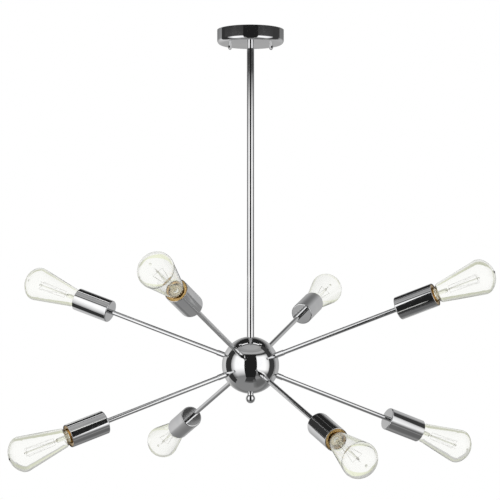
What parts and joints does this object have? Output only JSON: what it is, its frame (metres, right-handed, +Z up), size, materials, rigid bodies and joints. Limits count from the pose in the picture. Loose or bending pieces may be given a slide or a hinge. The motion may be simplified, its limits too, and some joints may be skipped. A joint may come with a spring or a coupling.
{
  "type": "multi arm chandelier",
  "caption": "Ceiling chandelier with a drum canopy, slim stem, ball hub and straight arms that lean up and down by turns, each with a cylinder cup and a clear tapered screw lamp.",
  "frame": {"origin": "centre of the canopy's rim, in the plane of the ceiling", "axes": "+Z up; the canopy studs lie along X, the slots for the ceiling box along Y; the picture looks along +Y"},
  "size_m": [0.834, 0.834, 0.7841],
  "materials": {
    "chrome": "polished nickel-chrome plate",
    "zinc_steel": "zinc plated",
    "ground_green": "green passivated screw",
    "moulded_black": "moulded phenolic",
    "socket_brass": "drawn brass",
    "lead_insulation": "extruded insulation",
    "wire_nut_plastic": "moulded",
    "lamp_glass": "clear blown glass",
    "lamp_brass": "drawn brass screw cap",
    "filament_wire": "drawn tungsten and nickel wire"
  },
  "bodies": {
    "bracket": {"ceiling_strap": "zinc_steel", "strap_rivet": "zinc_steel"},
    "fixture": {"canopy": "chrome", "cap_nuts": "chrome", "stem": "chrome", "hub_upper_shell": "chrome", "hub_lower_shell": "chrome", "finial": "chrome", "arm_1": "chrome", "arm_2": "chrome", "arm_3": "chrome", "arm_4": "chrome", "arm_5": "chrome", "arm_6": "chrome", "arm_7": "chrome", "arm_8": "chrome", "socket_cup_1": "chrome", "socket_cup_2": "chrome", "socket_cup_3": "chrome", "socket_cup_4": "chrome", "socket_cup_5": "chrome", "socket_cup_6": "chrome", "socket_cup_7": "chrome", "socket_cup_8": "chrome", "swivel_strap": "zinc_steel", "canopy_studs": "zinc_steel", "canopy_locknut": "zinc_steel", "tie_rod": "zinc_steel", "arm_locknuts": "zinc_steel", "ground_screw": "ground_green", "lampholder_bodies": "moulded_black", "terminal_block": "moulded_black", "lampholder_screw_shells": "socket_brass", "lampholder_contacts": "socket_brass", "leads": "lead_insulation", "wire_nuts": "wire_nut_plastic"},
    "bulb_1": {"bulb_glass_1": "lamp_glass", "bulb_cap_1": "lamp_brass", "bulb_filament_1": "filament_wire"},
    "bulb_2": {"bulb_glass_2": "lamp_glass", "bulb_cap_2": "lamp_brass", "bulb_filament_2": "filament_wire"},
    "bulb_3": {"bulb_glass_3": "lamp_glass", "bulb_cap_3": "lamp_brass", "bulb_filament_3": "filament_wire"},
    "bulb_4": {"bulb_glass_4": "lamp_glass", "bulb_cap_4": "lamp_brass", "bulb_filament_4": "filament_wire"},
    "bulb_5": {"bulb_glass_5": "lamp_glass", "bulb_cap_5": "lamp_brass", "bulb_filament_5": "filament_wire"},
    "bulb_6": {"bulb_glass_6": "lamp_glass", "bulb_cap_6": "lamp_brass", "bulb_filament_6": "filament_wire"},
    "bulb_7": {"bulb_glass_7": "lamp_glass", "bulb_cap_7": "lamp_brass", "bulb_filament_7": "filament_wire"},
    "bulb_8": {"bulb_glass_8": "lamp_glass", "bulb_cap_8": "lamp_brass", "bulb_filament_8": "filament_wire"}
  },
  "joints": [
    {"name": "fixture_swivel", "type": "hinge", "parent": "bracket", "child": "fixture", "pos_m": [0, 0, -0.003], "axis": [0, 0, 1], "range_deg": [-65, 65]},
    {"name": "bulb_1_unscrew", "type": "slide", "parent": "fixture", "child": "bulb_1", "axis": [0.8703, -0.3605, 0.3355], "range_m": [0, 0.06]},
    {"name": "bulb_2_unscrew", "type": "slide", "parent": "fixture", "child": "bulb_2", "axis": [0.8703, 0.3605, -0.3355], "range_m": [0, 0.06]},
    {"name": "bulb_3_unscrew", "type": "slide", "parent": "fixture", "child": "bulb_3", "axis": [0.3605, 0.8703, 0.3355], "range_m": [0, 0.06]},
    {"name": "bulb_4_unscrew", "type": "slide", "parent": "fixture", "child": "bulb_4", "axis": [-0.3605, 0.8703, -0.3355], "range_m": [0, 0.06]},
    {"name": "bulb_5_unscrew", "type": "slide", "parent": "fixture", "child": "bulb_5", "axis": [-0.8703, 0.3605, 0.3355], "range_m": [0, 0.06]},
    {"name": "bulb_6_unscrew", "type": "slide", "parent": "fixture", "child": "bulb_6", "axis": [-0.8703, -0.3605, -0.3355], "range_m": [0, 0.06]},
    {"name": "bulb_7_unscrew", "type": "slide", "parent": "fixture", "child": "bulb_7", "axis": [-0.3605, -0.8703, 0.3355], "range_m": [0, 0.06]},
    {"name": "bulb_8_unscrew", "type": "slide", "parent": "fixture", "child": "bulb_8", "axis": [0.3605, -0.8703, -0.3355], "range_m": [0, 0.06]}
  ]
}
